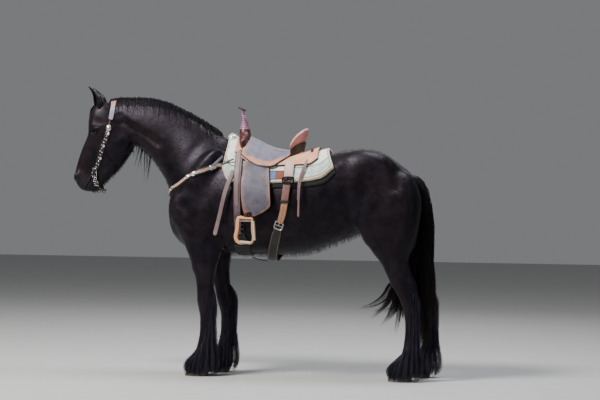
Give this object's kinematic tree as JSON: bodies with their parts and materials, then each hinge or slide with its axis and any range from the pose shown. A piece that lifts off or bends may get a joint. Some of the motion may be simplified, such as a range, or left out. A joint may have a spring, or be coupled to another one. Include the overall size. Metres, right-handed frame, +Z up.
{
  "type": "tacked black horse, still model",
  "caption": "Life-size black draft-type horse standing square in western saddle, pad, girths, breast collar and bridle, with long mane, tail and feathered feet.",
  "frame": {"origin": "on the floor under the middle of the horse's bounding box", "axes": "-X towards the head, +Z up, +Y to the horse's right side"},
  "size_m": [2.582, 0.794, 1.986],
  "materials": {
    "brass": "worn brass",
    "coat": "short glossy black coat over flesh",
    "cord": "twisted dark cord",
    "eye": "moist dark brown eyeball",
    "felt": "black felt",
    "hair": "long black hair",
    "horn_black": "dark hoof horn",
    "leather_brown": "brown strap leather",
    "leather_dark": "dark red-brown smooth leather",
    "leather_tan": "tooled tan leather",
    "leather_worn": "worn tan leather, blue-grey where it is rubbed",
    "silver": "bright engraved metal",
    "wool": "cream wool with a patterned side panel"
  },
  "bodies": {
    "root": {"billet_left": "leather_tan", "billet_right": "leather_tan", "bit": "silver", "breast_collar": "leather_tan", "cannon_fore_left": "coat", "cannon_fore_right": "coat", "cannon_hind_left": "coat", "cannon_hind_right": "coat", "cheek_strap_left": "leather_dark", "cheek_strap_right": "leather_dark", "cinch_front": "cord", "cinch_link": "leather_brown", "cinch_rear": "felt", "crown_strap": "leather_brown", "curb_strap": "leather_brown", "ear_left": "coat", "ear_right": "coat", "eye_left": "eye", "eye_right": "eye", "fender_left": "leather_worn", "fender_right": "leather_worn", "head": "coat", "hoof_fore_left": "horn_black", "hoof_fore_right": "horn_black", "hoof_hind_left": "horn_black", "hoof_hind_right": "horn_black", "latigo_left": "leather_brown", "latigo_right": "leather_brown", "latigo_tail": "leather_brown", "leg_fore_left": "coat", "leg_fore_right": "coat", "leg_hind_left": "coat", "leg_hind_right": "coat", "neck": "coat", "rosette_left": "silver", "rosette_right": "silver", "saddle_cantle": "leather_dark", "saddle_felt": "felt", "saddle_horn": "leather_dark", "saddle_pad": "wool", "saddle_seat": "leather_worn", "saddle_skirt": "leather_tan", "saddle_swell": "leather_dark", "stirrup_left": "brass", "stirrup_right": "brass", "tail": "hair", "tail_blown": "hair", "tie_string_left": "leather_brown", "tie_string_right": "leather_brown", "torso": "coat"}
  },
  "joints": []
}
